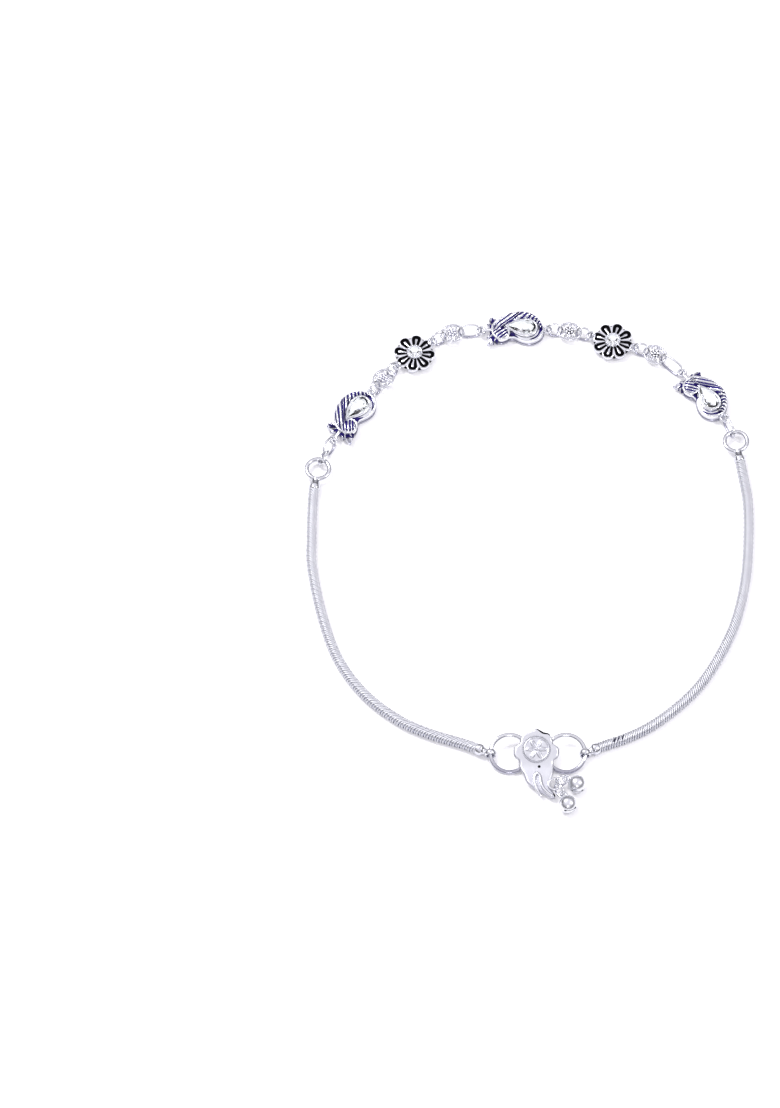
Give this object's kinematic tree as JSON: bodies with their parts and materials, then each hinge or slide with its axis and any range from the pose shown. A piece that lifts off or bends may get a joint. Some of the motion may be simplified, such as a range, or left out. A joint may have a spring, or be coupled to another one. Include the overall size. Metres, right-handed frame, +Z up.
{
  "type": "payal anklet",
  "caption": "Closed silver ankle chain with paisley and flower castings, clear stones, openwork links, a hooked shield clasp and small round bells.",
  "frame": {"origin": "middle of the outline as it lies flat, on the surface it rests on", "axes": "+Z up from the surface, +Y from the clasp towards the middle paisley, +X towards the chain on the side of the bells"},
  "size_m": [0.0832, 0.1068, 0.0038],
  "materials": {
    "silver": "polished",
    "blue_enamel": "gloss",
    "oxidised_silver": "satin",
    "clear_stone": "polished"
  },
  "bodies": {
    "root": {"snake_chain_left": "silver", "snake_chain_right": "silver", "paisley_1": "silver", "paisley_2": "silver", "paisley_3": "silver", "flower_1": "silver", "flower_2": "silver", "scroll_link_a": "silver", "scroll_link_b": "silver", "scroll_link_c": "silver", "scroll_link_d": "silver", "ring_left_lower": "silver", "ring_left_upper": "silver", "ring_a1": "silver", "ring_a2": "silver", "ring_b1": "silver", "ring_b2": "silver", "ring_c1": "silver", "ring_c2": "silver", "ring_d1": "silver", "ring_d2": "silver", "ring_right": "silver", "clasp_ring_left": "silver", "clasp_ring_right": "silver", "clasp_plate": "silver", "bell_ring_1": "silver", "bell_ring_2": "silver", "bell_1": "silver", "bell_2": "silver", "pear_stone_1": "clear_stone", "pear_stone_2": "clear_stone", "pear_stone_3": "clear_stone", "round_stone_1": "clear_stone", "round_stone_2": "clear_stone"}
  },
  "joints": []
}
